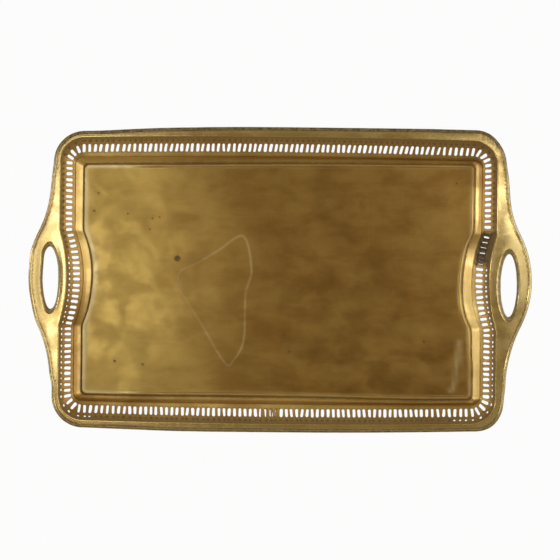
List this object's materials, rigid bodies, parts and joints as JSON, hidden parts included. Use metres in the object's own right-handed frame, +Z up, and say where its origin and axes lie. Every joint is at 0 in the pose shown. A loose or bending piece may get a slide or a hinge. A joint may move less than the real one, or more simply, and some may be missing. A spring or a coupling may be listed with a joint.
{
  "type": "pierced gallery tray",
  "caption": "Large oblong sheet-brass serving tray with a pierced sloping gallery, a rolled wired rim and a long hand hole in each rounded end.",
  "frame": {"origin": "middle of the tray on the surface it rests on", "axes": "+X along the tray's length towards one hand hole, +Y across its width, +Z up"},
  "size_m": [0.61, 0.37, 0.0345],
  "materials": {
    "pan_brass": "old polish with brown patina, scratches and small pits",
    "strip_brass": "darker patina, hand-punched, burnished slot edges",
    "rim_brass": "worn polish, brown in the crease beside the rolled edge",
    "wire_steel": "drawn wire, hidden in the rolled edge"
  },
  "bodies": {
    "root": {"base_pan": "pan_brass", "gallery_strip_long": "strip_brass", "gallery_strip_short": "strip_brass", "rim_flange": "rim_brass", "rim_wire": "wire_steel"}
  },
  "joints": []
}
